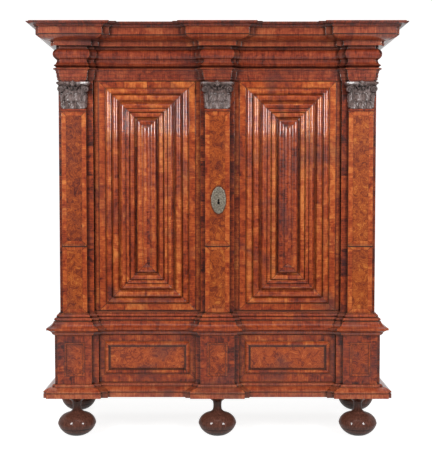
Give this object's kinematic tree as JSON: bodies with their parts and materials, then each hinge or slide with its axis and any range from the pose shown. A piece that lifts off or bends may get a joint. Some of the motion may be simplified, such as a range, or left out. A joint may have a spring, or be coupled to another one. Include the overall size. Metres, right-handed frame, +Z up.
{
  "type": "kas cupboard",
  "caption": "Free-standing baroque linen cupboard on bun feet: hinged doors with raised mouldings, pilasters, carved capitals, deep cornice and base drawers.",
  "frame": {"origin": "on the floor, under the middle of the cupboard's box", "axes": "+X to the viewer's right, front towards -Y, +Z up"},
  "size_m": [1.886, 0.8, 2.1],
  "materials": {
    "walnut_veneer": "polished walnut veneer",
    "burr_walnut": "polished burr walnut veneer",
    "plain_oak": "plain oak boards",
    "dark_turned_wood": "dark stained, polished",
    "dark_carved_wood": "dark carved wood",
    "iron": "forged iron",
    "pewter": "engraved pewter"
  },
  "bodies": {
    "carcass": {"foot_front_left": "dark_turned_wood", "foot_front_centre": "dark_turned_wood", "foot_front_right": "dark_turned_wood", "foot_rear_left": "dark_turned_wood", "foot_rear_right": "dark_turned_wood", "base_floor": "plain_oak", "base_sides": "walnut_veneer", "base_back": "plain_oak", "pedestal_left": "walnut_veneer", "pedestal_centre": "walnut_veneer", "pedestal_right": "walnut_veneer", "drawer_rails": "plain_oak", "base_moulding": "walnut_veneer", "waist_frame": "plain_oak", "waist_moulding": "walnut_veneer", "cupboard_floor": "plain_oak", "side_left": "walnut_veneer", "side_right": "walnut_veneer", "front_stiles": "walnut_veneer", "back_boards": "plain_oak", "shelves": "plain_oak", "shelf_cleats": "plain_oak", "door_stops": "plain_oak", "top_board": "plain_oak", "entablature_frame": "plain_oak", "top_cover": "plain_oak", "architrave": "walnut_veneer", "frieze": "walnut_veneer", "corona": "walnut_veneer", "crown": "walnut_veneer", "pilaster_left": "burr_walnut", "pilaster_right": "burr_walnut", "capital_left": "dark_carved_wood", "capital_right": "dark_carved_wood"},
    "left_door": {"left_door_frame": "walnut_veneer", "left_door_outer_moulding": "walnut_veneer", "left_door_inner_moulding": "walnut_veneer", "left_door_cushion": "burr_walnut", "left_door_pivots": "iron", "lock_keeper": "iron", "bolt_staples": "iron"},
    "right_door": {"right_door_frame": "walnut_veneer", "right_door_outer_moulding": "walnut_veneer", "right_door_inner_moulding": "walnut_veneer", "right_door_cushion": "burr_walnut", "right_door_pivots": "iron", "centre_strip": "walnut_veneer", "pilaster_centre": "burr_walnut", "capital_centre": "dark_carved_wood", "escutcheon": "pewter", "lock_case": "iron"},
    "left_drawer": {"left_drawer_front": "burr_walnut", "left_drawer_moulding": "walnut_veneer", "left_drawer_box": "plain_oak"},
    "right_drawer": {"right_drawer_front": "burr_walnut", "right_drawer_moulding": "walnut_veneer", "right_drawer_box": "plain_oak"},
    "lock_bolt": {"lock_bolt": "iron"},
    "left_door_top_bolt": {"left_door_top_bolt": "iron"},
    "left_door_bottom_bolt": {"left_door_bottom_bolt": "iron"}
  },
  "joints": [
    {"name": "left_door_hinge", "type": "hinge", "parent": "carcass", "child": "left_door", "pos_m": [-0.61, -0.217, 0.649], "axis": [0, 0, -1], "range_deg": [0, 90]},
    {"name": "right_door_hinge", "type": "hinge", "parent": "carcass", "child": "right_door", "pos_m": [0.61, -0.217, 0.649], "axis": [0, 0, 1], "range_deg": [0, 90]},
    {"name": "left_drawer_slide", "type": "slide", "parent": "carcass", "child": "left_drawer", "axis": [0, -1, 0], "range_m": [0, 0.33]},
    {"name": "right_drawer_slide", "type": "slide", "parent": "carcass", "child": "right_drawer", "axis": [0, -1, 0], "range_m": [0, 0.33]},
    {"name": "lock_throw", "type": "slide", "parent": "right_door", "child": "lock_bolt", "axis": [-1, 0, 0], "range_m": [0, 0.016]},
    {"name": "top_bolt_slide", "type": "slide", "parent": "left_door", "child": "left_door_top_bolt", "axis": [0, 0, 1], "range_m": [0, 0.024]},
    {"name": "bottom_bolt_slide", "type": "slide", "parent": "left_door", "child": "left_door_bottom_bolt", "axis": [0, 0, -1], "range_m": [0, 0.024]}
  ]
}
